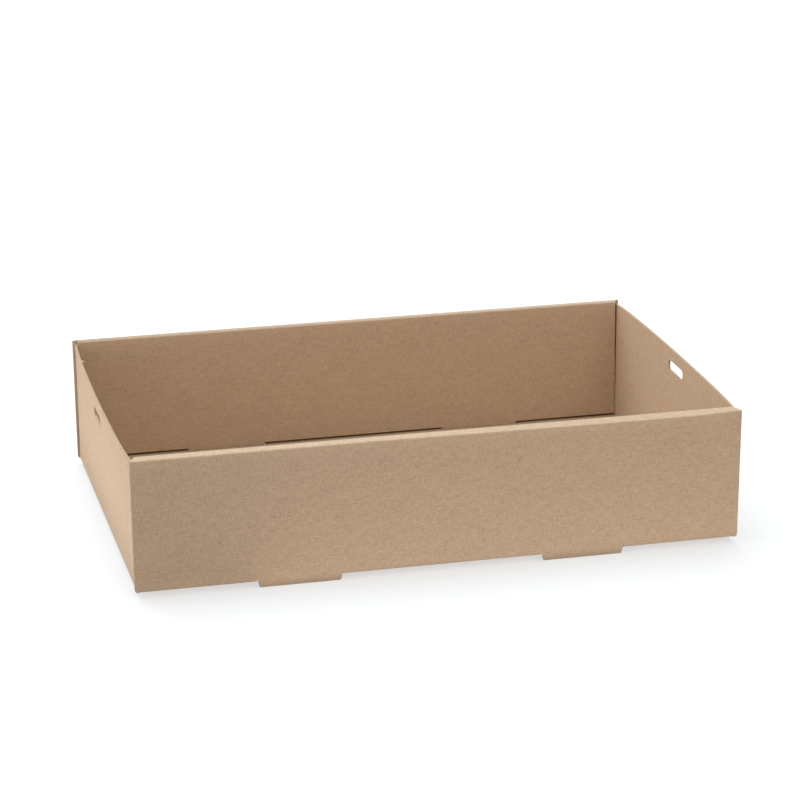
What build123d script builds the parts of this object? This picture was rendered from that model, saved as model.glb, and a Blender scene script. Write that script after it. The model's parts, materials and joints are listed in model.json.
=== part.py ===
from build123d import *
import os

# A catering tray folded from one die-cut sheet of brown fluted board, with no glue and no lid.
#
# Each long side is a hollow wall: the outer panel turns in over a narrow rim, and the inner
# panel comes down again, spreads a little and locks two tabs into slots in the base.  The strips cut out
# of those slots stay on the outer panels and point down as four feet.  Each end is a single
# wall that bulges outwards a little at the top and has a lock slot for a lid.  Its two corner
# flaps are tucked inside the hollow long walls, which hold it up.
#
# Frame: X along the tray, Y across it with the front at -Y, Z up from the undersides of the
# feet, origin under the middle of the tray.  The tray is the same on both sides of X and Y.

# ---- driving dimensions, in millimetres -------------------------------------------------
BOARD = 1.5             # thickness of the sheet
LENGTH = 365.5          # long walls, cut end to cut end
WIDTH = 241.0           # over the two outer panels
WALL_HEIGHT = 80.0      # rim's outer edge above the underside of the base
FOOT_DROP = 3.6         # underside of the base above the table
RIM_WIDTH = 7.0         # strip on top of a long wall
RIM_RISE = 0.9          # the rim's inner edge above its outer edge
WALL_FOOT = 9.0         # thickness of a long wall where it meets the base
FLOOR_GAP = 1.5         # lower edge of an inner panel above the tray's floor
END_INSET = 1.5         # end wall in from the cut ends of the long walls
END_BULGE = 3.7         # outward bulge of an end wall at the middle of its top edge
FLAP_LENGTH = 58.0      # corner flap, from the end wall inwards
TAB_SPACING = 171.0     # between the middles of the two tabs of one wall
TAB_WIDTH = 50.6        # of feet and lock tabs alike, where they leave their panel
TAB_TAPER = 1.3         # how much a tab narrows on each side down to its tip
LOCK_DROP = 0.6         # tip of a lock tab below the underside of the base
LID_SLOT = (27.5, 6.2)  # width and height of the slot in an end wall
LID_SLOT_ROUND = 2.6    # its corner radius
LID_SLOT_DOWN = 12.4    # middle of the slot below the rim's outer edge
PLAY = 0.25             # clearance between two plies that only lie against each other

# ---- fold and cut details ---------------------------------------------------------------
FOLD_OUTSIDE = 1.3      # radius on the outside of a fold
FOLD_INSIDE = 0.25      # radius on the inside of a fold
CORNER_ROUND = 1.8      # rounded lower corners of the outer panels
MITRE = 3.2             # how far the rim's inner edge stops short of the cut end
FLAP_SHORT_TOP = 2.3    # corner flap lower than its end wall
FLAP_SHORT_BASE = 1.0   # corner flap clear of the floor
BULGE_SPREAD = 0.93     # how far out towards the corners the bulge keeps its fullness

# ---- levels and planes worked out from them ---------------------------------------------
BASE_Z = FOOT_DROP
FLOOR_Z = BASE_Z + BOARD
RIM_Z = BASE_Z + WALL_HEIGHT
GAP_Z = FLOOR_Z + FLOOR_GAP
END_TOP_Z = RIM_Z - BOARD - PLAY
HALF_L = LENGTH / 2
HALF_W = WIDTH / 2
END_X = HALF_L - END_INSET     # outer face of an end wall at its foot
END_Y = HALF_W - BOARD - PLAY  # outer faces of its corner flaps


def wall_depth(z):
    """Thickness of a long wall over all its plies at height z; the inner panel leans."""
    return WALL_FOOT + (RIM_WIDTH - WALL_FOOT) * (z - BASE_Z) / WALL_HEIGHT


def under_rim(inwards):
    """Height of the rim's underside, which rises inwards."""
    return RIM_Z - BOARD + RIM_RISE * inwards / RIM_WIDTH


def front_section():
    """Section of the front half of the sheet: base, outer panel, rim and inner panel."""
    inner_face = RIM_WIDTH - BOARD
    corners = [
        # inwards from the outer face, height, radius
        (HALF_W, BASE_Z, 0),
        (0, BASE_Z, FOLD_OUTSIDE),
        (0, RIM_Z, FOLD_OUTSIDE),
        (RIM_WIDTH, RIM_Z + RIM_RISE, FOLD_OUTSIDE),
        (wall_depth(GAP_Z), GAP_Z, 0),
        (wall_depth(GAP_Z) - BOARD, GAP_Z, 0),
        (inner_face, under_rim(inner_face), FOLD_INSIDE),
        (BOARD, under_rim(BOARD), FOLD_INSIDE),
        (BOARD, FLOOR_Z, FOLD_INSIDE),
        (HALF_W, FLOOR_Z, 0),
    ]
    points = [(0, inwards - HALF_W, z) for inwards, z, _ in corners]
    radii = [radius for _, _, radius in corners]
    return make_face(FilletPolyline(*points, radius=radii, close=True))


def lower_edge_round(x, y, width, radius):
    """What is cut away to round the lower edge at x, over a width across the tray."""
    block = Box(2 * radius, width, 2 * radius)
    drum = Rot(90, 0, 0) * Cylinder(radius, width)
    return Pos(x - radius, y, BASE_Z + radius) * (Pos(radius, 0, -radius) * block - drum)


def wall_trim():
    """What is cut off the right end of the front wall: the rim's mitre and a round corner."""
    short_x = HALF_L - MITRE
    beyond_x = HALF_L + MITRE
    mitre = Polyline(
        (HALF_L, BOARD - HALF_W),
        (short_x, RIM_WIDTH - HALF_W),
        (short_x, 2 * RIM_WIDTH - HALF_W),
        (beyond_x, 2 * RIM_WIDTH - HALF_W),
        (beyond_x, BOARD - HALF_W),
        close=True,
    )
    above_floor = Pos(0, 0, GAP_Z - PLAY) * extrude(make_face(mitre), WALL_HEIGHT)
    corner = lower_edge_round(HALF_L, BOARD / 2 - HALF_W, 2 * BOARD, CORNER_ROUND)
    return above_floor + corner


def base_trim():
    """What is cut off the right end of the base, up to the outside of the end wall's fold."""
    beyond = Pos(END_X + BOARD, 0, FLOOR_Z) * Box(2 * BOARD, 2 * (HALF_W - BOARD), 3 * BOARD)
    return beyond + lower_edge_round(END_X, 0, 2 * END_Y, FOLD_OUTSIDE)


def tab(top_z, top_depth, tip_z, tip_depth):
    """A tab that narrows to its tip; a depth is that of its inner face in from the front."""
    def section(z, depth, width):
        return Pos(0, depth - BOARD / 2 - HALF_W, z) * Rectangle(width, BOARD)

    top = section(top_z, top_depth, TAB_WIDTH)
    tip = section(tip_z, tip_depth, TAB_WIDTH - 2 * TAB_TAPER)
    return loft([top, tip], ruled=True)


def front_wall():
    """The front wall with half of the base, its feet and its lock tabs in their slots."""
    wall = extrude(front_section(), HALF_L, dir=(1, 0, 0), both=True)
    trim = wall_trim()
    wall = wall - trim - mirror(trim, about=Plane.YZ)

    slot_depth = WALL_FOOT + PLAY - BOARD
    slot_y = BOARD + slot_depth / 2 - HALF_W
    slot = Pos(0, slot_y, BASE_Z + BOARD / 2) * Box(TAB_WIDTH, slot_depth, 2 * BOARD)
    fold = Pos(0, BOARD / 2 - HALF_W, FLOOR_Z) * Box(TAB_WIDTH, BOARD, 2 * BOARD)
    foot = tab(BASE_Z, BOARD, 0, BOARD)
    lock_tip_z = BASE_Z - LOCK_DROP
    lock = tab(GAP_Z, wall_depth(GAP_Z), lock_tip_z, wall_depth(lock_tip_z))
    for middle in (-TAB_SPACING / 2, TAB_SPACING / 2):
        place = Pos(middle, 0, 0)
        wall = wall - place * slot + place * fold + place * foot + place * lock
    return wall


def end_strip(z, bulge):
    """Level section through the right end wall and its corner flaps: one bent strip."""
    tip_x = END_X - FLAP_LENGTH

    def face_line(inset, radius):
        x = END_X - inset
        y = END_Y - inset
        bend = x - radius
        full = x + bulge * 4 / 3
        wall_y = y - radius
        spread = BULGE_SPREAD * wall_y
        return [
            Line((tip_x, -y), (bend, -y)),
            JernArc((bend, -y), (1, 0), radius, 90),
            Bezier((x, -wall_y), (full, -spread), (full, spread), (x, wall_y)),
            JernArc((x, wall_y), (0, 1), radius, 90),
            Line((bend, y), (tip_x, y)),
        ]

    outside = face_line(0, FOLD_INSIDE + BOARD)
    inside = face_line(BOARD, FOLD_INSIDE)
    tips = [Line(outside[0] @ 0, inside[0] @ 0), Line(outside[-1] @ 1, inside[-1] @ 1)]
    return Pos(0, 0, z) * make_face(outside + inside + tips)


def right_end():
    """The right end wall with its corner flaps, and the lid's lock slot cut through it."""
    wall = loft([end_strip(FLOOR_Z, 0), end_strip(END_TOP_Z, END_BULGE)], ruled=True)
    flap_x = END_X - BOARD - FOLD_INSIDE - FLAP_LENGTH / 2
    for level, clearance in ((FLOOR_Z, FLAP_SHORT_BASE), (END_TOP_Z, FLAP_SHORT_TOP)):
        wall -= Pos(flap_x, 0, level) * Box(FLAP_LENGTH, 2 * HALF_W, 2 * clearance)
    outline = Plane.YZ * RectangleRounded(*LID_SLOT, LID_SLOT_ROUND)
    slot = extrude(outline, END_BULGE + 2 * BOARD, both=True)
    return wall - Pos(END_X, 0, RIM_Z - LID_SLOT_DOWN) * slot


half_turn = Rot(0, 0, 180)
front = front_wall()
spare = base_trim()
right = right_end()
tray = front + half_turn * front - spare - half_turn * spare + right + half_turn * right

os.makedirs("parts", exist_ok=True)
export_step(tray, "parts/tray.step")
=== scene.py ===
"""A catering tray folded from one die-cut blank of brown fluted board, as a Blender add-on.

The blank is drawn flat, with its slots, tabs and corner flaps, and is then folded up. Lengths
are in metres. On the blank, u runs along the tray and v across it, both from the middle of the
base, and depth runs from the outside liner (0) to the inside liner (the board's thickness).
"""

import json
import math

import bpy
import numpy as np
from mathutils import Matrix, Vector
from mathutils.geometry import delaunay_2d_cdt, tessellate_polygon


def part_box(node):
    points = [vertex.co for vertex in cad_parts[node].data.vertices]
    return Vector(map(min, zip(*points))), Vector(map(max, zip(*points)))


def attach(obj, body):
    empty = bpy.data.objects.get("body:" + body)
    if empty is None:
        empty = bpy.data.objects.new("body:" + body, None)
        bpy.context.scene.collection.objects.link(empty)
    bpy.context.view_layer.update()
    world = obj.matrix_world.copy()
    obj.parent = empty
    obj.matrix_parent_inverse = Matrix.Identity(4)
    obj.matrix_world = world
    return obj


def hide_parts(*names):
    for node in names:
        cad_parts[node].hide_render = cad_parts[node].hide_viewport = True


bl_info = {
    "name": "Catering Tray",
    "version": (1, 0, 0),
    "blender": (4, 5, 0),
    "location": "3D View > Sidebar > Tray",
    "description": "Folds a catering tray from one blank of brown fluted board",
    "category": "Add Mesh",
}

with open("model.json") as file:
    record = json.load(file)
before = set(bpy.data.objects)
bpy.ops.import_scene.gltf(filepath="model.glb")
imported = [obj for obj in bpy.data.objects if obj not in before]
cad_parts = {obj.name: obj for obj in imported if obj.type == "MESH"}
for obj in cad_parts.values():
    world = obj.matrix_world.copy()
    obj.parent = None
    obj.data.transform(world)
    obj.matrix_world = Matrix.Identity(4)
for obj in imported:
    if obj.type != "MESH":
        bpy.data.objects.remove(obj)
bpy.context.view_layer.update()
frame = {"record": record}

MM = 0.001
TRAY_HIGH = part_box("tray")[1]
MOUNTS = {mount["name"]: mount for mount in frame["record"]["mounts"]}

FOLD_STEPS = 6           # faces round a fold
ROUND_STEPS = 5          # faces round a cut corner
CUT_ROUND = 0.22 * MM    # how far the knife's pressure rounds a cut edge
PITCH = 9 * MM           # spacing of the mesh lines on a flat panel
BULGE_SPREAD = 0.93      # how far towards the corners an end wall's bulge reaches
FOLD_FADE = 2.5 * MM     # distance over which a fold's wear fades out
SAG_REACH = 6 * MM       # how far from the rim's fold its sag reaches
BURR_PLACE = 41.5 * MM   # in from the back wall's outer face to the torn burr
BURR_BACK, BURR_FRONT = 4, 1.5  # millimetres that the burr reaches on either side
FAR = 0.6                # metres: well outside the blank


# ---- settings ---------------------------------------------------------------------------


def length(name, value, description):
    """A length setting, in metres."""
    return bpy.props.FloatProperty(
        name=name, description=description, default=value, min=0, unit="LENGTH", precision=5
    )


def factor(name, value, description, top=1.0):
    """A setting without a unit."""
    return bpy.props.FloatProperty(
        name=name, description=description, default=value, min=0, max=top, subtype="FACTOR"
    )


def angle(name, degrees, description):
    """An angle setting, given in degrees and kept in radians."""
    return bpy.props.FloatProperty(
        name=name, description=description, default=math.radians(degrees), subtype="ANGLE"
    )


def colour(name, value, description):
    """A linear colour setting."""
    return bpy.props.FloatVectorProperty(
        name=name, description=description, default=value, min=0, max=1, size=3, subtype="COLOR"
    )


class TraySheetSettings(bpy.types.PropertyGroup):
    """Sizes of the folded sheet."""

    board: length("Board", 1.5 * MM, "Thickness of the fluted board")
    foot_drop: length("Foot drop", 3.6 * MM, "Underside of the base above the table")
    wall_height: length("Wall height", 80 * MM, "Rim's outer edge above the base's underside")
    rim_width: length("Rim width", 7.0 * MM, "Strip on top of a long wall")
    rim_rise: length("Rim rise", 0.9 * MM, "Rim's inner edge above its outer edge")
    wall_foot: length("Wall foot", 9.0 * MM, "Thickness of a long wall at the base")
    floor_gap: length("Floor gap", 1.5 * MM, "Lower edge of an inner panel above the floor")
    end_inset: length("End inset", 1.5 * MM, "End wall in from the long walls' cut ends")
    end_bulge: length("End bulge", 3.7 * MM, "Outward bulge of an end wall's top edge")
    flap_short: length("Flap short", 2.3 * MM, "Corner flap's top below the end wall's")
    flap_length: length("Flap length", 58 * MM, "Corner flap, in from the end wall")
    tab_spacing: length("Tab spacing", 171 * MM, "Between the middles of a wall's two tabs")
    tab_width: length("Tab width", 50.6 * MM, "Width of feet and lock tabs")
    tab_taper: length("Tab taper", 1.3 * MM, "Narrowing of a tab on each side")
    lock_drop: length("Lock drop", 0.6 * MM, "Tip of a lock tab below the base")
    slot_length: length("Slot length", 27.5 * MM, "Length of a lid slot")
    slot_height: length("Slot height", 6.2 * MM, "Height of a lid slot")
    slot_round: length("Slot corner", 2.6 * MM, "Corner radius of a lid slot")
    fold_outside: length("Fold outside", 1.3 * MM, "Radius on the outside of a fold")
    fold_inside: length("Fold inside", 0.25 * MM, "Radius on the inside of a fold")
    play: length("Play", 0.25 * MM, "Clearance between two plies")
    corner_round: length("Corner", 1.8 * MM, "Lower corners of the outer panels")
    end_flare: length("End flare", 0.3 * MM, "How far the outer panels' cut ends splay")
    mitre: length("Mitre", 3.15 * MM, "Inner panel short of the outer panel's end")
    rim_short: length("Rim short", 2.4 * MM, "Rim cut back at the torn corner")
    rim_sag: length("Rim sag", 1.0 * MM, "Front rim's outer fold pressed down, on the right")
    burr: length("Burr", 1.8 * MM, "Torn liner standing in from the end wall's top edge")
    knife_gap: length("Knife gap", 0.3 * MM, "Gap that a cut leaves beside a foot")
    waviness: length("Waviness", 0.22 * MM, "How far the board strays from flat")
    wave_size: length("Wave size", 60 * MM, "Distance over which it strays")


class TrayFinishSettings(bpy.types.PropertyGroup):
    """Colours and texture of the board."""

    kraft: colour("Kraft", (0.505, 0.362, 0.244), "The liners' colour")
    fibre: factor("Fibre", 0.5, "Strength of the fibre mottle")
    streak: factor("Streaks", 0.35, "Strength of the streaks along the machine direction")
    fleck: factor("Flecks", 0.5, "Strength of the dark flecks")
    worn: factor("Worn folds", 0.7, "How much lighter the folds are")
    # Painted shade: the back rim's colour is made darker, more towards the left, in place of light
    # that falls less on it.
    rim_painted_shade: factor("Dim rim", 0.6, "How much darker the back rim is made")
    # Painted shade of the open flutes: the cut edges are made darker in colour.
    cut_painted_shade: factor("Cut edges", 0.2, "How much darker the cut edges are")
    roughness: factor("Roughness", 0.78, "Roughness of the liners")


class TrayStageSettings(bpy.types.PropertyGroup):
    """Floor, light and camera."""

    floor: colour("Floor", (0.43, 0.43, 0.43), "Colour of the floor")
    glow: factor("Floor glow", 0.56, "How brightly the floor glows", 10)
    sky: factor("Sky", 0.56, "Strength of the light from all round", 10)
    top: factor("Top light", 42.0, "Strength of the light overhead, behind", 1000)
    side: factor("Side light", 12.8, "Strength of the light on the left", 1000)
    front: factor("Front light", 6.1, "Strength of the light high in front", 1000)
    front_card: factor("Front card", 0.08, "Strength of the card that lies in front", 1000)
    left_card: factor("Left card", 0.166, "Strength of the card that lies on the left", 1000)
    azimuth: angle("Azimuth", -13.66, "Camera round the tray, from the front")
    elevation: angle("Elevation", 18.35, "Camera above the horizon")
    roll: angle("Roll", -0.30, "Turn about the line of sight")
    aim: bpy.props.FloatVectorProperty(
        name="Aim", description="Where the camera looks", default=(3.7 * MM, 0, 66.3 * MM)
    )
    distance: length("Distance", 1.805, "Camera from the point that it looks at")
    lens: bpy.props.FloatProperty(
        name="Lens", description="Focal length in millimetres", default=131.3, min=1
    )


# ---- the folded sheet: where each point of the blank goes ---------------------------------


def rounded(corners, steps):
    """The path through corners (x, y, radius), each rounded with an arc of so many steps."""
    path = []
    points = [Vector(corner[:2]) for corner in corners]
    for i, (x, y, radius) in enumerate(corners):
        here = points[i]
        back = (points[i - 1] - here).normalized()
        ahead = (points[(i + 1) % len(points)] - here).normalized()
        if radius == 0:
            path.append((x, y))
            continue
        half = back.angle(ahead) / 2
        centre = here + (back + ahead).normalized() * radius / math.sin(half)
        start = here + back * radius / math.tan(half) - centre
        turn = start.angle_signed(here + ahead * radius / math.tan(half) - centre)
        for k in range(steps + 1):
            angle = -turn * k / steps
            spoke = Vector((
                start.x * math.cos(angle) - start.y * math.sin(angle),
                start.x * math.sin(angle) + start.y * math.cos(angle),
            ))
            path.append(tuple(centre + spoke))
    return path


class Fold:
    """Sections of the folded sheet, and the map from the flat blank to the tray."""

    def __init__(self, s):
        board, radius = s.board, s.fold_outside
        self.s = s
        self.half_w = TRAY_HIGH.y
        self.end_x = TRAY_HIGH.x - s.end_bulge
        self.half_l = self.end_x + s.end_inset
        self.base_z = s.foot_drop
        self.floor_z = self.base_z + board
        self.rim_z = self.base_z + s.wall_height
        self.gap_z = self.floor_z + s.floor_gap
        self.end_top_z = self.rim_z - board - s.play
        self.end_y = self.half_w - board - s.play
        self.lock_z = self.base_z - s.lock_drop
        self.tab_mid = s.tab_spacing / 2

        # Section of a long wall: (inwards from the outer face, height).
        tip = (self.depth(self.lock_z), self.lock_z)
        slope = s.rim_rise / s.rim_width
        inner = s.rim_width - board
        under = self.rim_z - board
        outside = [
            (self.half_w, self.base_z, 0),
            (0, self.base_z, radius),
            (0, self.rim_z, radius),
            (s.rim_width, self.rim_z + s.rim_rise, radius),
            (*tip, 0),
        ]
        inside = [
            (self.half_w, self.floor_z, 0),
            (board, self.floor_z, s.fold_inside),
            (board, under + slope * board, s.fold_inside),
            (inner, under + slope * inner, s.fold_inside),
            (tip[0] - board, tip[1], 0),
        ]
        self.long_out = np.array(rounded(outside, FOLD_STEPS))
        self.long_in = np.array(rounded(inside, FOLD_STEPS))
        self.long_v = self.run(self.long_out)

        # Section of an end wall: (along the tray, height).
        outside = [
            (0, self.base_z, 0), (self.end_x, self.base_z, radius), (self.end_x, self.end_top_z, 0)
        ]
        inner_x = self.end_x - board
        inside = [
            (0, self.floor_z, 0), (inner_x, self.floor_z, s.fold_inside),
            (inner_x, self.end_top_z, 0),
        ]
        self.end_out = np.array(rounded(outside, FOLD_STEPS))
        self.end_in = np.array(rounded(inside, FOLD_STEPS))
        self.end_u = self.run(self.end_out)

        # Places on the blank.
        self.fold_v = self.long_v[1], self.long_v[1 + FOLD_STEPS]
        self.rim_v = self.long_v[2 + 2 * FOLD_STEPS], self.long_v[3 + 2 * FOLD_STEPS]
        self.lock_v = self.long_v[-1]
        slope = math.hypot(1, (s.rim_width - s.wall_foot) / (self.rim_z - self.base_z))
        self.gap_v = self.lock_v - (self.gap_z - self.lock_z) * slope
        self.fold_u = self.end_u[1], self.end_u[1 + FOLD_STEPS]
        self.top_u = self.end_u[-1]
        self.foot_v = self.fold_v[1] - self.long_out[1 + FOLD_STEPS][1]

        # The vertical fold between an end wall and its corner flap.
        self.bend = s.fold_inside + board
        self.bend_v = self.end_y - self.bend
        self.flap_v = self.bend_v + self.bend * math.pi / 2
        t = np.linspace(0, 1, 81)
        self.bulge_v = self.bend_v * (
            t**3 - (1 - t) ** 3 + BULGE_SPREAD * 3 * t * (1 - t) * (2 * t - 1)
        )
        self.bulge_out = 4 * t * (1 - t)
        self.burr_v = self.half_w - BURR_PLACE

    def depth(self, z):
        """Thickness of a long wall over all its plies at height z; the inner panel leans."""
        s = self.s
        rise = (z - s.foot_drop) / s.wall_height
        return s.wall_foot + (s.rim_width - s.wall_foot) * rise

    @staticmethod
    def run(path):
        """Distance along a section's outside from its start."""
        steps = np.hypot(*np.diff(path, axis=0).T)
        return np.concatenate([[0], np.cumsum(steps)])

    def end_blank_u(self, z):
        """Where height z of an end wall is on the blank."""
        return self.top_u - (self.end_top_z - z)

    def through(self, at, where, outside, inside, depth):
        """Points of a section at the distances at, at a depth through the board."""
        share = (depth / self.s.board)[:, None]
        out = np.stack([np.interp(at, where, outside[:, i]) for i in (0, 1)], 1)
        inn = np.stack([np.interp(at, where, inside[:, i]) for i in (0, 1)], 1)
        return out + (inn - out) * share

    def long_side(self, u, v, depth):
        """Base, outer panel, rim, inner panel and lock tabs."""
        p = self.through(np.abs(v), self.long_v, self.long_out, self.long_in, depth)
        z = p[:, 1] + self.rim_shift(u, v)
        return np.stack([u, np.sign(v) * (self.half_w - p[:, 0]), z], 1)

    def rim_shift(self, u, v):
        """How far the front rim's outer fold is pressed down: more towards the right."""
        near = np.clip(1 - np.abs(v + self.rim_v[0]) / SAG_REACH, 0, 1)
        ends = np.clip((self.half_l - 3 * MM - np.abs(u)) / (20 * MM), 0, 1)
        return -self.s.rim_sag * near * ends * np.clip((u / self.half_l + 0.2) / 0.7, 0, 1)

    def foot(self, u, v, depth):
        """What hangs straight down from an outer panel: a foot, or the panel's end."""
        top_out, top_in = (e[1 + FOLD_STEPS][1] for e in (self.long_out, self.long_in))
        top = top_out + (top_in - top_out) * depth / self.s.board
        z = top * (np.abs(v) - self.foot_v) / (self.fold_v[1] - self.foot_v)
        return np.stack([u, np.sign(v) * (self.half_w - depth), z], 1)

    def end(self, u, v, depth):
        """End wall and its corner flaps."""
        p = self.through(np.abs(u), self.end_u, self.end_out, self.end_in, depth)
        radius = self.bend - depth
        angle = np.clip((np.abs(v) - self.bend_v) / (self.flap_v - self.bend_v), 0, 1) * math.pi / 2
        along = np.clip(np.abs(v) - self.flap_v, 0, None)
        drop = radius * (1 - np.cos(angle)) + along
        y = np.minimum(np.abs(v), self.bend_v) + radius * np.sin(angle)
        rise = np.clip((p[:, 1] - self.floor_z) / (self.end_top_z - self.floor_z), 0, 1)
        bulge = self.s.end_bulge * rise * np.interp(v, self.bulge_v, self.bulge_out)
        x = np.sign(u) * (p[:, 0] - drop + bulge)
        past = v - self.burr_v
        off = np.where(past > 0, past / BURR_BACK, -past / BURR_FRONT) / MM
        at_burr = np.clip(1 - off, 0, 1) * (u < 0)
        at_edge = np.clip(1 - (self.top_u - np.abs(u)) / (0.8 * MM), 0, 1)
        x += self.s.burr * at_burr * at_edge * depth / self.s.board
        return np.stack([x, np.sign(v) * y, p[:, 1]], 1)

    def panel(self, u, v):
        """Which of the three maps above folds the blank there."""
        a, b = abs(u), abs(v)
        half_tab = (self.s.tab_width + self.s.knife_gap) / 2
        if a > self.fold_u[1] or (a > self.fold_u[0] and b < self.bend_v):
            return "end"
        beside_end = a > self.long_end() + self.s.knife_gap / 2 and b > self.fold_v[0]
        in_tab = abs(a - self.tab_mid) < half_tab and b > self.foot_v - MM / 2
        if b < self.fold_v[1] and (beside_end or in_tab):
            return "foot"
        return "long_side"

    def long_end(self):
        """Where the fold of a long side ends, just short of the end wall's fold."""
        return self.fold_u[0] - self.s.play


# ---- the flat blank -----------------------------------------------------------------------


def blank_outline(f):
    """The blank's outer cut line, as one closed loop."""
    s = f.s
    half_tab = s.tab_width / 2
    panel_end_v = f.fold_v[1] - s.fold_outside
    cut_u = f.long_end() + s.knife_gap
    flap_low_u = f.end_blank_u(f.floor_z + MM)
    flap_top_u = f.top_u - s.flap_short
    tip_v = f.flap_v + s.flap_length - f.bend

    def quarter(rim_short, mitre_top, mitre_foot):
        """Corners from the lock tab round to the end wall: (along, across, radius)."""
        lock_tab = [
            (f.tab_mid - half_tab, f.gap_v, 0.4 * MM),
            (f.tab_mid - half_tab + s.tab_taper, f.lock_v, MM),
            (f.tab_mid + half_tab - s.tab_taper, f.lock_v, MM),
            (f.tab_mid + half_tab, f.gap_v, 0.4 * MM),
        ]
        long_ends = [
            (f.half_l - mitre_foot, f.gap_v, MM),
            (f.half_l - mitre_top, f.rim_v[1] + 0.6 * MM, 0.8 * MM),
            (f.half_l - rim_short, f.rim_v[0] - 0.4 * MM, 0.3 * MM),
            (f.half_l + s.end_flare, f.rim_v[0] - 0.9 * MM, 0.4 * MM),
            (f.half_l - s.end_flare, panel_end_v, s.corner_round),
            (cut_u, panel_end_v, 0),
            (cut_u, f.fold_v[1], 0),
            (f.long_end(), f.fold_v[1], 0),
            (f.long_end(), f.fold_v[0], 0),
        ]
        end_wall = [
            (f.fold_u[0], f.bend_v, 0),
            (f.fold_u[1] + 0.4 * MM, f.bend_v, 0),
            (flap_low_u, f.flap_v, 0),
            (flap_low_u, tip_v, 4 * MM),
            (flap_top_u, tip_v, 4 * MM),
            (flap_top_u, f.flap_v, 0.5 * MM),
            (f.top_u, f.flap_v, 0.5 * MM),
        ]
        return lock_tab + long_ends + end_wall

    loop = []
    for i, (du, dv) in enumerate(((1, 1), (1, -1), (-1, -1), (-1, 1))):
        torn = (du, dv) == (-1, 1)
        if torn:
            part = quarter(s.rim_short, s.mitre - 0.6 * MM, s.mitre)
            part += [
                (f.top_u - 0.1 * MM, f.burr_v + BURR_BACK * MM, 0),
                (f.top_u + 0.1 * MM, f.burr_v + 1.5 * MM, 0),
                (f.top_u + 0.5 * MM, f.burr_v, 0),
                (f.top_u, f.burr_v - BURR_FRONT * MM, 0),
            ]
        else:
            part = quarter(0, s.mitre + 0.3 * MM, s.mitre)
        part = [(du * u, dv * v, radius) for u, v, radius in part]
        loop += part if i % 2 == 0 else part[::-1]
    return rounded(loop, ROUND_STEPS)


def blank_holes(f):
    """The slots: round the four feet in the base, and for the lid in the end walls."""
    s = f.s
    half_tab = s.tab_width / 2
    wide = half_tab + s.knife_gap
    narrow = half_tab - s.tab_taper
    slot_v = f.half_w - s.wall_foot - s.play
    holes = []
    for du in (-1, 1):
        for dv in (-1, 1):
            mid = du * f.tab_mid
            around = [
                (mid - wide, f.fold_v[1], 0),
                (mid - wide, slot_v, 0.8 * MM),
                (mid + wide, slot_v, 0.8 * MM),
                (mid + wide, f.fold_v[1], 0),
                (mid + half_tab, f.fold_v[1], 0),
                (mid + narrow, f.foot_v, 0.9 * MM),
                (mid - narrow, f.foot_v, 0.9 * MM),
                (mid - half_tab, f.fold_v[1], 0),
            ]
            holes.append(rounded([(u, dv * v, r) for u, v, r in around], ROUND_STEPS))
        mount_z = MOUNTS["lid_slot_right"]["pos_m"][2]
        at = f.end_blank_u(mount_z)
        half = s.slot_height / 2, s.slot_length / 2
        corners = [(-1, -1), (1, -1), (1, 1), (-1, 1)]
        slot = [(du * (at + i * half[0]), j * half[1], s.slot_round) for i, j in corners]
        holes.append(rounded(slot, ROUND_STEPS))
    return holes


def spaced(low, high):
    """Evenly spaced places from low to high, about PITCH apart."""
    return np.linspace(low, high, max(2, round((high - low) / PITCH) + 1))


def mesh_lines(f):
    """Straight lines on the blank that its mesh follows, as pairs of ends."""
    lines = []

    def across(us, reach):
        lines.extend(((u, -reach), (u, reach)) for u in us)

    def along(vs, start, end):
        lines.extend(((start, v), (end, v)) for v in vs)

    long_vs = [spaced(0, f.fold_v[0]), f.long_v[1:-1]]
    for i in (1, 2, 3):
        first = f.long_v[i * (FOLD_STEPS + 1)]
        last = f.long_v[min(i * (FOLD_STEPS + 1) + 1, len(f.long_v) - 1)]
        long_vs.append(spaced(first, last))
    long_vs = np.unique(np.round(np.concatenate(long_vs), 7))
    end_vs = np.concatenate([f.bulge_v[::2], np.linspace(f.bend_v, f.flap_v, FOLD_STEPS)])
    flap_vs = spaced(f.flap_v, f.flap_v + f.s.flap_length)[1:]
    middle = f.half_l + 2 * MM
    for side in (-1, 1):
        along(side * long_vs, -middle, middle)
        start = side * f.fold_u[0]
        along(np.unique(np.round(side * end_vs, 7)), start, side * (f.top_u + MM))
        along(side * flap_vs, side * middle, side * f.top_u)
        along(-side * flap_vs, side * middle, side * f.top_u)
        across(side * f.end_u[1:-1], f.bend_v + MM / 2)
        across(side * spaced(f.fold_u[1], f.top_u)[1:-1], f.lock_v)
        across(side * spaced(0, f.fold_u[0])[:-1], f.lock_v + MM)
    return lines


def corner_step(before, here, after):
    """How far and which way to step off a corner to step one unit off both its sides."""
    one = (here - before) / np.linalg.norm(here - before)
    two = (after - here) / np.linalg.norm(after - here)
    off = np.array([one[1] + two[1], -one[0] - two[0]])
    return off / max(1 + one @ two, 0.35)


def inside_loops(point, loops):
    """Whether a point is inside an odd number of closed loops."""
    x, y = point
    count = 0
    for loop in loops:
        x0, y0 = loop.T
        x1, y1 = np.roll(loop, -1, axis=0).T
        spans = (y0 > y) != (y1 > y)
        with np.errstate(divide="ignore", invalid="ignore"):
            cross = x0 + (y - y0) * (x1 - x0) / (y1 - y0)
        count += int((spans & (cross > x)).sum())
    return count % 2 == 1


def within(face):
    """A point inside a face that may have hollow corners: the middle of its largest triangle."""
    thirds = tessellate_polygon([[Vector((x, y, 0)) for x, y in face]])
    return max((face[list(third)] for third in thirds), key=lambda t: abs(area(t))).mean(0)


def area(loop):
    """Signed area of a closed loop."""
    x, y = np.asarray(loop).T
    return 0.5 * float(x @ np.roll(y, -1) - y @ np.roll(x, -1))


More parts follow.
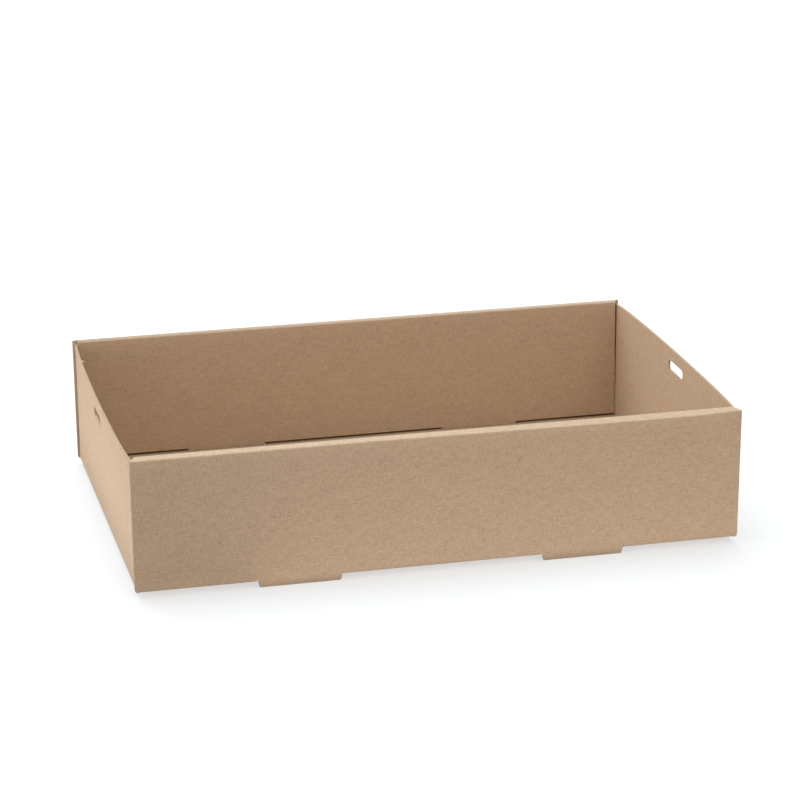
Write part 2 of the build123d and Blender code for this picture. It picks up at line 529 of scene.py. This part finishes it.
def flat_blank(f):
    """The blank's flat mesh, up to where its cut edges start to round: points and faces."""
    loops = []
    for i, loop in enumerate([blank_outline(f)] + blank_holes(f)):
        loop = np.array(loop)
        if (area(loop) > 0) != (i == 0):
            loop = loop[::-1]
        around = zip(np.roll(loop, 1, axis=0), loop, np.roll(loop, -1, axis=0))
        loops.append(np.array([at - CUT_ROUND * corner_step(b, at, a) for b, at, a in around]))
    points, edges = [], []
    for loop in loops:
        first = len(points)
        points += [tuple(p) for p in loop]
        edges += [(first + k, first + (k + 1) % len(loop)) for k in range(len(loop))]
    for start, end in mesh_lines(f):
        edges.append((len(points), len(points) + 1))
        points += [start, end]
    sheet = list(range(len(points), len(points) + 4))
    points += [(-FAR, -FAR), (FAR, -FAR), (FAR, FAR), (-FAR, FAR)]
    scale = 1 / MM
    flat = [Vector((x * scale, y * scale)) for x, y in points]
    whole_faces, merge = 4, 1e-5
    found = delaunay_2d_cdt(flat, edges, [sheet], whole_faces, merge)
    places = np.array([tuple(p) for p in found[0]]) / scale
    faces = []
    for face in found[2]:
        if inside_loops(within(places[face]), loops):
            faces.append(list(face) if area(places[face]) > 0 else list(face)[::-1])
    used = sorted({k for face in faces for k in face})
    order = {old: new for new, old in enumerate(used)}
    return places[used], [[order[k] for k in face] for face in faces]


def boundary_loops(faces):
    """The closed rings of edges that have a face on one side only."""
    follow = {}
    for face in faces:
        for a, b in zip(face, face[1:] + face[:1]):
            follow[a, b] = True
    follow = {a: b for a, b in follow if (b, a) not in follow}
    rings = []
    while follow:
        ring = [next(iter(follow))]
        while ring[-1] in follow:
            ring.append(follow.pop(ring[-1]))
        rings.append(ring[:-1])
    return rings


def cut_profile(board):
    """Across a cut edge: (outwards, depth through the board), between the two liners."""
    r = CUT_ROUND
    steps = [math.radians(a) for a in (30, 60, 90)]
    upper = [(r * math.sin(a), r * (1 - math.cos(a))) for a in steps]
    lower = [(out, board - depth) for out, depth in upper[::-1]]
    return upper + [(r, board / 3), (r, board * 2 / 3)] + lower


def folded_sheet(s):
    """The folded sheet's mesh: points, faces, and for each point its place on the blank,
    which way the outside faces there, whether it is on a cut edge, how near it is to a
    fold and how much painted shade darkens it."""
    f = Fold(s)
    flat, faces = flat_blank(f)
    panels = {}
    for face in faces:
        kind = f.panel(*flat[face].mean(0))
        for k in face:
            if panels.get(k) != "foot":
                panels[k] = kind

    places, kinds, cut = [], [], []

    def add(place, depth, kind, on_cut):
        places.append((*place, depth))
        kinds.append(kind)
        cut.append(on_cut)
        return len(places) - 1

    outside = [add(p, 0, panels[k], 0) for k, p in enumerate(flat)]
    inside = [add(p, s.board, panels[k], 0) for k, p in enumerate(flat)]
    quads = [[outside[k] for k in face[::-1]] for face in faces]
    quads += [[inside[k] for k in face] for face in faces]
    for ring in boundary_loops(faces):
        columns = []
        for before, k, after in zip(ring[-1:] + ring[:-1], ring, ring[1:] + ring[:1]):
            off = corner_step(flat[before], flat[k], flat[after])
            column = [outside[k]]
            for out, depth in cut_profile(s.board):
                column.append(add(flat[k] + off * out, depth, panels[k], 1))
            columns.append(column + [inside[k]])
        for left, right in zip(columns, columns[1:] + columns[:1]):
            for k in range(len(left) - 1):
                quads.append([left[k], right[k], right[k + 1], left[k + 1]])
    places, kinds = np.array(places), np.array(kinds)

    def fold(depths):
        points = np.zeros((len(places), 3))
        for kind in ("long_side", "foot", "end"):
            at = kinds == kind
            points[at] = getattr(f, kind)(*places[at, :2].T, depths[at])
        return points

    points = fold(places[:, 2])
    facing = fold(np.zeros(len(places))) - fold(np.full(len(places), s.board))
    facing /= np.linalg.norm(facing, axis=1)[:, None]
    fields = {
        "blank": places,
        "facing": facing,
        "cut": np.array(cut, float),
        "fold": nearness(f, places, kinds),
        "painted_rim_shade": shade_painted_on_rim(f, places),
    }
    return points, quads, fields


def nearness(f, places, kinds):
    """How near each point is to a fold: 1 on it, fading to 0 over a few millimetres."""
    u, v = np.abs(places[:, 0]), np.abs(places[:, 1])

    def near(at, low, high):
        return np.clip(1 - np.maximum(low - at, at - high) / FOLD_FADE, 0, 1)

    near_long = np.zeros(len(u))
    for i in range(3):
        first = 1 + i * (FOLD_STEPS + 1)
        low, high = f.long_v[first], f.long_v[first + FOLD_STEPS]
        near_long = np.maximum(near_long, near(v, low, high))
    near_end = np.maximum(near(u, *f.fold_u), near(v, f.bend_v, f.flap_v))
    return np.where(kinds == "end", near_end, near_long)


def shade_painted_on_rim(f, places):
    """How much painted shade darkens each point: the back rim gets it, more towards the left."""
    u, v = places[:, 0], places[:, 1]
    past = np.maximum(f.rim_v[0] - 0.6 * MM - v, v - f.rim_v[1] - 0.4 * MM)
    return np.clip(1 - past / MM, 0, 1) * np.interp(u / f.half_l, [-1, 1], [1, 0.35])


# ---- material -----------------------------------------------------------------------------


def shader_group(name, inputs, outputs):
    """An empty shader group with those sockets, its input node and its output node."""
    group = bpy.data.node_groups.new(name, "ShaderNodeTree")
    for socket, kind, value in inputs:
        made = group.interface.new_socket(socket, in_out="INPUT", socket_type=kind)
        if value is not None:
            made.default_value = value
    for socket, kind in outputs:
        group.interface.new_socket(socket, in_out="OUTPUT", socket_type=kind)
    return group, group.nodes.new("NodeGroupInput"), group.nodes.new("NodeGroupOutput")


def maths(tree, kind, *values, clamp=False):
    """A Math node with those values or sockets put in, and its result."""
    node = tree.nodes.new("ShaderNodeMath")
    node.operation = kind
    node.use_clamp = clamp
    for socket, value in zip(node.inputs, values):
        if isinstance(value, bpy.types.NodeSocket):
            tree.links.new(value, socket)
        else:
            socket.default_value = value
    return node.outputs[0]


def noise(tree, vector, size, stretch=(1, 1, 1), detail=2.0, seed=0.0):
    """Noise from 0 to 1 with features of that size in metres, stretched along each axis."""
    mapping = tree.nodes.new("ShaderNodeMapping")
    mapping.inputs["Location"].default_value = (seed, seed * 0.7, seed * 1.3)
    mapping.inputs["Scale"].default_value = tuple(1 / (size * k) for k in stretch)
    tree.links.new(vector, mapping.inputs["Vector"])
    node = tree.nodes.new("ShaderNodeTexNoise")
    node.inputs["Scale"].default_value = 1
    node.inputs["Detail"].default_value = detail
    tree.links.new(mapping.outputs[0], node.inputs["Vector"])
    return node.outputs["Fac"]


def between(tree, value, low, high, new_low=0.0, new_high=1.0):
    """A value taken from one range to another, held at its ends."""
    node = tree.nodes.new("ShaderNodeMapRange")
    for socket, number in zip(list(node.inputs)[1:5], (low, high, new_low, new_high)):
        if isinstance(number, bpy.types.NodeSocket):
            tree.links.new(number, socket)
        else:
            socket.default_value = number
    tree.links.new(value, node.inputs["Value"])
    return node.outputs["Result"]


def mixed(tree, kind, share, first, second):
    """Two colours mixed."""
    node = tree.nodes.new("ShaderNodeMix")
    node.data_type = "RGBA"
    node.blend_type = kind
    for name, value in (("Factor_Float", share), ("A_Color", first), ("B_Color", second)):
        socket = next(i for i in node.inputs if i.identifier == name)
        if isinstance(value, bpy.types.NodeSocket):
            tree.links.new(value, socket)
        else:
            socket.default_value = value
    return next(o for o in node.outputs if o.identifier == "Result_Color")


def kraft_fibres():
    """Fibre mottle of a kraft liner: its tone, about 0, and its relief."""
    group, start, end = shader_group(
        "Kraft fibres",
        [("Place", "NodeSocketVector", None), ("Fibre", "NodeSocketFloat", 0.5),
         ("Streak", "NodeSocketFloat", 0.3)],
        [("Tone", "NodeSocketFloat"), ("Relief", "NodeSocketFloat")],
    )
    place = start.outputs["Place"]
    fine = noise(group, place, 0.42 * MM, (1, 1.25, 1), 2, 1)
    grain = noise(group, place, 1.0 * MM, (1, 1.2, 1), 2, 7)
    cloud = noise(group, place, 16 * MM, (1, 1.2, 1), 3, 13)
    down = noise(group, place, 0.5 * MM, (9, 1, 1), 1, 19)
    across = noise(group, place, 0.5 * MM, (1, 9, 1), 1, 23)
    mottle = maths(group, "MULTIPLY", maths(group, "SUBTRACT", fine, 0.5), 2.1)
    mottle = maths(group, "MULTIPLY_ADD", maths(group, "SUBTRACT", grain, 0.5), 1.5, mottle)
    mottle = maths(group, "MULTIPLY_ADD", maths(group, "SUBTRACT", cloud, 0.5), 0.35, mottle)
    mottle = maths(group, "MULTIPLY", mottle, start.outputs["Fibre"])
    lines = maths(group, "SUBTRACT", maths(group, "ADD", down, across), 1.0)
    lines = maths(group, "MULTIPLY", lines, maths(group, "MULTIPLY", start.outputs["Streak"], 2.3))
    group.links.new(maths(group, "ADD", mottle, lines), end.inputs["Tone"])
    group.links.new(maths(group, "ADD", fine, grain), end.inputs["Relief"])
    return group


def kraft_flecks():
    """Sparse fibre flecks: how much of one is at each place."""
    group, start, end = shader_group(
        "Kraft flecks",
        [("Place", "NodeSocketVector", None), ("Cell", "NodeSocketFloat", 3 * MM),
         ("Share", "NodeSocketFloat", 0.3)],
        [("Fleck", "NodeSocketFloat")],
    )
    scaled = group.nodes.new("ShaderNodeVectorMath")
    scaled.operation = "SCALE"
    group.links.new(start.outputs["Place"], scaled.inputs[0])
    group.links.new(maths(group, "DIVIDE", 1.0, start.outputs["Cell"]), scaled.inputs["Scale"])
    cells = group.nodes.new("ShaderNodeTexVoronoi")
    cells.inputs["Scale"].default_value = 1
    group.links.new(scaled.outputs[0], cells.inputs["Vector"])
    split = group.nodes.new("ShaderNodeSeparateColor")
    group.links.new(cells.outputs["Color"], split.inputs[0])
    chosen = maths(group, "LESS_THAN", split.outputs[0], start.outputs["Share"])
    size = maths(group, "MULTIPLY_ADD", split.outputs[1], 0.06, 0.04)
    spot = maths(group, "SUBTRACT", 1.0,
                 maths(group, "DIVIDE", cells.outputs["Distance"], size), clamp=True)
    group.links.new(maths(group, "MULTIPLY", spot, chosen), end.inputs["Fleck"])
    return group


def cut_edge():
    """A cut edge: its mask, and the hollows beside the wavy medium between the liners,
    which get painted shade and relief.
    """
    group, start, end = shader_group(
        "Cut edge",
        [("Place", "NodeSocketVector", None), ("Cut", "NodeSocketFloat", 0.0),
         ("Board", "NodeSocketFloat", 1.5 * MM), ("Flute", "NodeSocketFloat", 3.2 * MM)],
        [("Mask", "NodeSocketFloat"), ("Hollow", "NodeSocketFloat")],
    )
    split = group.nodes.new("ShaderNodeSeparateXYZ")
    group.links.new(start.outputs["Place"], split.inputs[0])
    turn = maths(group, "DIVIDE", maths(group, "MULTIPLY", split.outputs[1], math.tau),
                 start.outputs["Flute"])
    deep = maths(group, "SUBTRACT",
                 maths(group, "DIVIDE", split.outputs[2], start.outputs["Board"]), 0.5)
    wave = maths(group, "MULTIPLY", maths(group, "SINE", turn), 0.3)
    off = maths(group, "ABSOLUTE", maths(group, "SUBTRACT", deep, wave))
    from_liner = maths(group, "SUBTRACT", 0.4, maths(group, "ABSOLUTE", deep))
    hollow = maths(group, "MULTIPLY", between(group, off, 0.08, 0.2),
                   between(group, from_liner, 0.0, 0.1))
    mask = between(group, start.outputs["Cut"], 0.2, 0.9)
    group.links.new(mask, end.inputs["Mask"])
    group.links.new(maths(group, "MULTIPLY", hollow, mask), end.inputs["Hollow"])
    return group


def attribute(tree, name):
    """The piece's own attribute of that name."""
    node = tree.nodes.new("ShaderNodeAttribute")
    node.attribute_name = name
    return node


def placed(tree, group, **values):
    """A node of a shader group, with its inputs linked or set."""
    node = tree.nodes.new("ShaderNodeGroup")
    node.node_tree = group
    for name, value in values.items():
        if isinstance(value, bpy.types.NodeSocket):
            tree.links.new(value, node.inputs[name])
        else:
            node.inputs[name].default_value = value
    return node.outputs


def kraft_board(finish, sheet):
    """Brown kraft board: mottled liners, worn folds, cut edges darkened with painted shade
    of their flutes, and a back rim darkened with painted shade.
    """
    material = bpy.data.materials.new("kraft_board")
    material.use_nodes = True
    tree = material.node_tree
    shader = tree.nodes["Principled BSDF"]
    place = attribute(tree, "blank").outputs["Vector"]
    fibres = placed(tree, kraft_fibres(), Place=place, Fibre=finish.fibre, Streak=finish.streak)
    flecks = kraft_flecks()
    dark = placed(tree, flecks, Place=place, Cell=9 * MM, Share=0.45)["Fleck"]
    pale = placed(tree, flecks, Place=place, Cell=11 * MM, Share=0.2)["Fleck"]
    cut = placed(tree, cut_edge(), Place=place, Cut=attribute(tree, "cut").outputs["Fac"],
                 Board=sheet.board)
    fold = attribute(tree, "fold").outputs["Fac"]

    # The tone runs from -1, the deep colour, to 1, the light one.
    tone = maths(tree, "ADD", fibres["Tone"], maths(tree, "MULTIPLY", pale, finish.fleck * 0.8))
    tone = maths(tree, "SUBTRACT", tone, maths(tree, "MULTIPLY", dark, finish.fleck * 2.4))
    tone = maths(tree, "ADD", tone, maths(tree, "MULTIPLY", fold, finish.worn * 0.2))
    # Painted shade: the back rim darkened in the colour, more towards the left.
    painted_rim_shade = attribute(tree, "painted_rim_shade").outputs["Fac"]
    tone = maths(tree, "SUBTRACT", tone, maths(tree, "MULTIPLY", painted_rim_shade, finish.rim_painted_shade))
    # Painted shade of the open flutes: cut edges darker, and darker again in the hollows beside the
    # medium.
    tone = maths(tree, "SUBTRACT", tone, maths(tree, "MULTIPLY", cut["Mask"], finish.cut_painted_shade))
    tone = maths(tree, "SUBTRACT", tone, maths(tree, "MULTIPLY", cut["Hollow"], 0.3))
    kraft = tuple(finish.kraft)
    deep = (*(c * k for c, k in zip(kraft, (0.55, 0.5, 0.45))), 1)
    light = (*(min(c * k, 1) for c, k in zip(kraft, (1.45, 1.5, 1.55))), 1)
    share = between(tree, tone, -1.0, 1.0)
    tree.links.new(mixed(tree, "MIX", share, deep, light), shader.inputs["Base Color"])
    rough = maths(tree, "MULTIPLY_ADD", fibres["Tone"], -0.12, finish.roughness)
    tree.links.new(rough, shader.inputs["Roughness"])
    shader.inputs["Specular IOR Level"].default_value = 0.35

    bump = tree.nodes.new("ShaderNodeBump")
    bump.inputs["Strength"].default_value = 0.35
    bump.inputs["Distance"].default_value = 0.03 * MM
    relief = maths(tree, "SUBTRACT", fibres["Relief"], maths(tree, "MULTIPLY", cut["Hollow"], 6.0))
    tree.links.new(relief, bump.inputs["Height"])
    tree.links.new(bump.outputs["Normal"], shader.inputs["Normal"])
    return material


# ---- geometry nodes -----------------------------------------------------------------------


def board_waviness():
    """A node tree that lets the board stray inwards from flat, by noise on the blank."""
    tree = bpy.data.node_groups.new("Board waviness", "GeometryNodeTree")
    face = tree.interface
    face.new_socket("Geometry", in_out="INPUT", socket_type="NodeSocketGeometry")
    for name, kind in (
        ("Amount", "NodeSocketFloat"), ("Size", "NodeSocketFloat"), ("Seed", "NodeSocketFloat"),
        ("Material", "NodeSocketMaterial"),
    ):
        face.new_socket(name, in_out="INPUT", socket_type=kind)
    face.new_socket("Geometry", in_out="OUTPUT", socket_type="NodeSocketGeometry")
    add, link = tree.nodes.new, tree.links.new
    start, end = add("NodeGroupInput"), add("NodeGroupOutput")

    def named(name, kind):
        node = add("GeometryNodeInputNamedAttribute")
        node.data_type = kind
        node.inputs["Name"].default_value = name
        return node.outputs["Attribute"]

    waves = add("ShaderNodeTexNoise")
    waves.noise_dimensions = "4D"
    waves.inputs["Detail"].default_value = 1
    flat = add("ShaderNodeVectorMath")
    flat.operation = "MULTIPLY"
    flat.inputs[1].default_value = (1, 1, 0)
    link(named("blank", "FLOAT_VECTOR"), flat.inputs[0])
    link(flat.outputs[0], waves.inputs["Vector"])
    link(start.outputs["Seed"], waves.inputs["W"])
    per_size = add("ShaderNodeMath")
    per_size.operation = "DIVIDE"
    per_size.inputs[0].default_value = 1
    link(start.outputs["Size"], per_size.inputs[1])
    link(per_size.outputs[0], waves.inputs["Scale"])
    inwards = add("ShaderNodeMath")
    inwards.operation = "MULTIPLY"
    link(waves.outputs["Fac"], inwards.inputs[0])
    link(start.outputs["Amount"], inwards.inputs[1])
    free = add("ShaderNodeMath")
    free.operation = "MULTIPLY"
    link(inwards.outputs[0], free.inputs[0])
    link(named("free", "FLOAT"), free.inputs[1])
    away = add("ShaderNodeVectorMath")
    away.operation = "SCALE"
    link(named("facing", "FLOAT_VECTOR"), away.inputs[0])
    negative = add("ShaderNodeMath")
    negative.operation = "MULTIPLY"
    negative.inputs[1].default_value = -1
    link(free.outputs[0], negative.inputs[0])
    link(negative.outputs[0], away.inputs["Scale"])
    moved = add("GeometryNodeSetPosition")
    link(start.outputs["Geometry"], moved.inputs["Geometry"])
    link(away.outputs[0], moved.inputs["Offset"])
    real = add("GeometryNodeRealizeInstances")
    link(moved.outputs[0], real.inputs[0])
    finish = add("GeometryNodeSetMaterial")
    link(real.outputs[0], finish.inputs["Geometry"])
    link(start.outputs["Material"], finish.inputs["Material"])
    link(finish.outputs[0], end.inputs[0])
    return tree


def with_tree(obj, tree, **values):
    """Puts a geometry node tree on obj with those inputs, and makes the result its mesh."""
    modifier = obj.modifiers.new(tree.name, "NODES")
    modifier.node_group = tree
    for item in tree.interface.items_tree:
        if item.in_out == "INPUT" and item.name in values:
            modifier[item.identifier] = values[item.name]
    graph = bpy.context.evaluated_depsgraph_get()
    result = bpy.data.meshes.new_from_object(obj.evaluated_get(graph))
    obj.modifiers.remove(modifier)
    result.name = obj.name
    obj.data = result


def soft_normals(mesh, cut):
    """Normals that keep the liners flat right up to their rounded cut edges."""
    points = np.array([v.co for v in mesh.vertices])
    normals = np.zeros_like(points)
    for face in mesh.polygons:
        on = list(face.vertices)
        normal = np.array(face.normal) * face.area
        edge_face = any(cut[k] for k in on)
        for k in on:
            if edge_face and not cut[k]:
                continue
            normals[k] += normal
    normals /= np.maximum(np.linalg.norm(normals, axis=1), 1e-12)[:, None]
    mesh.normals_split_custom_set_from_vertices([tuple(n) for n in normals])


# ---- operators ----------------------------------------------------------------------------


class TRAY_OT_sheet(bpy.types.Operator):
    """Cut the blank and fold it into the tray"""

    bl_idname = "tray.sheet"
    bl_label = "Fold the sheet"

    def execute(self, context):
        s = context.scene.tray_sheet
        points, faces, fields = folded_sheet(s)
        fields["free"] = 1 - fields["fold"]
        mesh = bpy.data.meshes.new("folded_sheet")
        mesh.from_pydata(points.tolist(), [], faces)
        for name, values in fields.items():
            kind, field = ("FLOAT", "value") if values.ndim == 1 else ("FLOAT_VECTOR", "vector")
            made = mesh.attributes.new(name, kind, "POINT")
            made.data.foreach_set(field, np.ascontiguousarray(values, np.float32).ravel())
        mesh.shade_smooth()
        obj = bpy.data.objects.new("folded_sheet", mesh)
        context.scene.collection.objects.link(obj)
        material = kraft_board(context.scene.tray_finish, s)
        with_tree(obj, board_waviness(), Amount=s.waviness, Size=s.wave_size, Seed=3.0,
                  Material=material)
        soft_normals(obj.data, fields["cut"])
        if len(obj.data.materials) == 0:
            raise RuntimeError("the sheet came out without its material")
        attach(obj, "root")
        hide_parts("tray")
        return {"FINISHED"}


def area_light(name, place, aim, size, strength, tint):
    """A soft box that faces a point."""
    light = bpy.data.lights.new(name, "AREA")
    light.shape = "RECTANGLE"
    light.size, light.size_y = size
    light.energy = strength
    light.color = tint
    obj = bpy.data.objects.new(name, light)
    obj.location = place
    obj.rotation_euler = (Vector(aim) - Vector(place)).to_track_quat("-Z", "Y").to_euler()
    bpy.context.scene.collection.objects.link(obj)
    return obj


class TRAY_OT_stage(bpy.types.Operator):
    """Set the floor, the lights and the camera"""

    bl_idname = "tray.stage"
    bl_label = "Set the stage"

    def execute(self, context):
        scene = context.scene
        s = scene.tray_stage
        self.floor(scene, s)
        self.sky(scene, s)
        self.lights(s)
        self.camera(scene, s)
        scene.view_settings.view_transform = "Standard"
        return {"FINISHED"}

    def sky(self, scene, s):
        """Even light from all round."""
        world = bpy.data.worlds.new("studio")
        world.use_nodes = True
        back = world.node_tree.nodes["Background"]
        back.inputs["Color"].default_value = (1, 0.94, 0.89, 1)
        back.inputs["Strength"].default_value = s.sky
        scene.world = world

    def lights(self, s):
        """Three soft boxes, and two glowing cards that stand in for the light off the floor."""
        tray, cool, plain, warm = (0, 0, 0.03), (0.9, 0.94, 1), (1, 1, 1), (1, 0.94, 0.88)
        area_light("top_light", (-0.1, 0.8, 1.7), (0, 0.2, 0), (2.0, 2.0), s.top, (0.82, 0.94, 1))
        area_light("side_light", (-1.9, -0.1, 0.6), tray, (1.2, 1.0), s.side, cool)
        area_light("front_light", (0.4, -1.6, 1.3), tray, (1.2, 1.0), s.front, plain)
        for name, x, y, size, strength in (
            ("front_card", 0.1, -0.18, (0.42, 0.11), s.front_card),
            ("left_card", -0.28, 0.0, (0.14, 0.3), s.left_card),
        ):
            card = area_light(name, (x, y, MM), (x, y, 1), size, strength, warm)
            card.visible_camera = False

    def floor(self, scene, s):
        """A floor that glows, so that it shows white."""
        mesh = bpy.data.meshes.new("floor")
        reach = 12.0
        corners = [(-reach, -reach, 0), (reach, -reach, 0), (reach, reach, 0), (-reach, reach, 0)]
        mesh.from_pydata(corners, [], [(0, 1, 2, 3)])
        floor = bpy.data.objects.new("floor", mesh)
        scene.collection.objects.link(floor)
        material = bpy.data.materials.new("floor")
        material.use_nodes = True
        shader = material.node_tree.nodes["Principled BSDF"]
        shader.inputs["Base Color"].default_value = (*s.floor, 1)
        shader.inputs["Roughness"].default_value = 0.9
        shader.inputs["Specular IOR Level"].default_value = 0
        shader.inputs["Emission Color"].default_value = (0.95, 0.98, 1, 1)
        shader.inputs["Emission Strength"].default_value = s.glow
        mesh.materials.append(material)
        floor.visible_diffuse = False  # the cards light the board instead

    def camera(self, scene, s):
        """A long lens in front of the tray and to its left, looking down at it."""
        level = math.cos(s.elevation)
        back = Vector((
            math.sin(s.azimuth) * level, -math.cos(s.azimuth) * level, math.sin(s.elevation)
        ))
        data = bpy.data.cameras.new("camera")
        data.lens = s.lens
        data.sensor_width = 36
        data.clip_end = 100
        camera = bpy.data.objects.new("camera", data)
        camera.location = Vector(s.aim) + back * s.distance
        turn = (-back).to_track_quat("-Z", "Y").to_matrix()
        camera.rotation_euler = (turn @ Matrix.Rotation(s.roll, 3, "Z")).to_euler()
        scene.collection.objects.link(camera)
        scene.camera = camera


class TRAY_PT_panel(bpy.types.Panel):
    """Lists the tray's settings and operators"""

    bl_idname = "TRAY_PT_panel"
    bl_label = "Catering tray"
    bl_space_type = "VIEW_3D"
    bl_region_type = "UI"
    bl_category = "Tray"

    def draw(self, context):
        for group, operators in (
            (context.scene.tray_sheet, (TRAY_OT_sheet,)),
            (context.scene.tray_finish, ()),
            (context.scene.tray_stage, (TRAY_OT_stage,)),
        ):
            box = self.layout.box()
            for name in group.__annotations__:
                box.prop(group, name)
            for operator in operators:
                box.operator(operator.bl_idname)


CLASSES = (
    TraySheetSettings, TrayFinishSettings, TrayStageSettings,
    TRAY_OT_sheet, TRAY_OT_stage, TRAY_PT_panel,
)


def register():
    for cls in CLASSES:
        bpy.utils.register_class(cls)
    scene = bpy.types.Scene
    scene.tray_sheet = bpy.props.PointerProperty(type=TraySheetSettings)
    scene.tray_finish = bpy.props.PointerProperty(type=TrayFinishSettings)
    scene.tray_stage = bpy.props.PointerProperty(type=TrayStageSettings)


def unregister():
    for name in ("tray_sheet", "tray_finish", "tray_stage"):
        delattr(bpy.types.Scene, name)
    for cls in reversed(CLASSES):
        bpy.utils.unregister_class(cls)


def main():
    register()
    bpy.ops.tray.stage()
    bpy.ops.tray.sheet()


if __name__ == "__main__":
    main()
